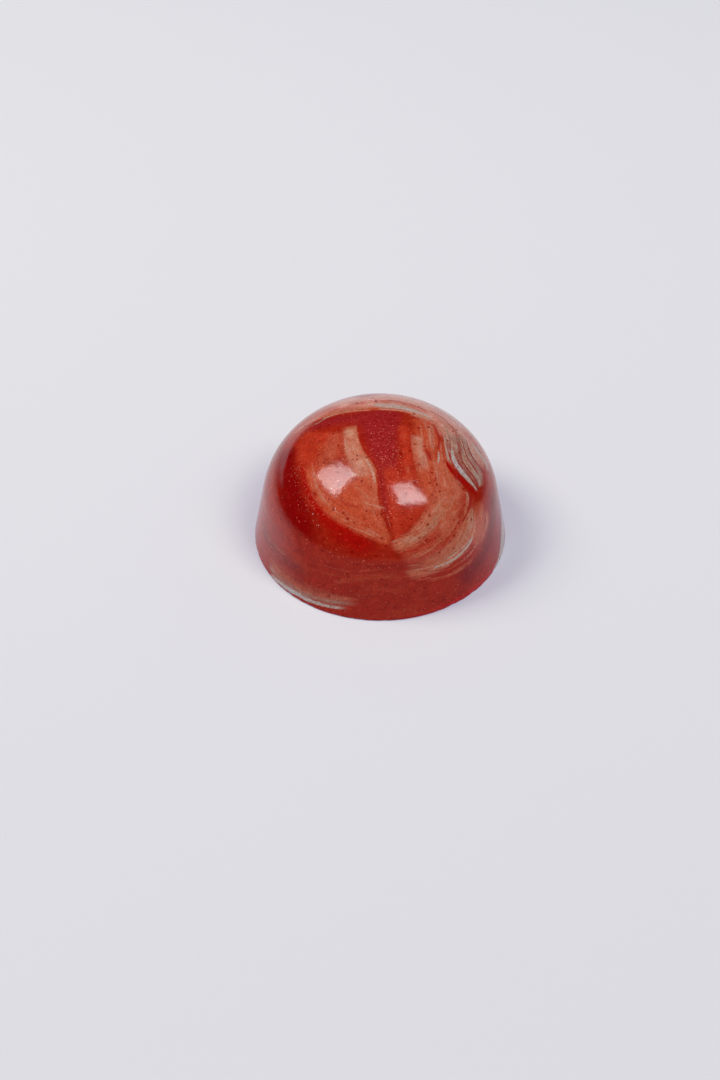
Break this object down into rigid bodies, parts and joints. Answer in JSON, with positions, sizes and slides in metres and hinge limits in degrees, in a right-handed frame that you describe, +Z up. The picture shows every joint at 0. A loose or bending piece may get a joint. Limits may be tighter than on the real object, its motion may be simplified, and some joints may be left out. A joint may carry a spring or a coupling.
{
  "type": "chocolate praline",
  "caption": "Moulded chocolate praline: a round glossy dome on a short leaning skirt, marbled in red, terracotta and white, with a flat foot to rest on.",
  "frame": {"origin": "middle of the flat foot, on the surface that the praline rests on", "axes": "+Z up through the crown of the dome, the axis the mould was turned about; -Y towards the side that the picture shows"},
  "size_m": [0.03, 0.03, 0.017],
  "materials": {
    "marbled_shell": "glossy cocoa butter from a polished mould, marbled in deep red, terracotta, tan and white, with fine glitter in it"
  },
  "bodies": {
    "root": {"praline": "marbled_shell"}
  },
  "joints": []
}
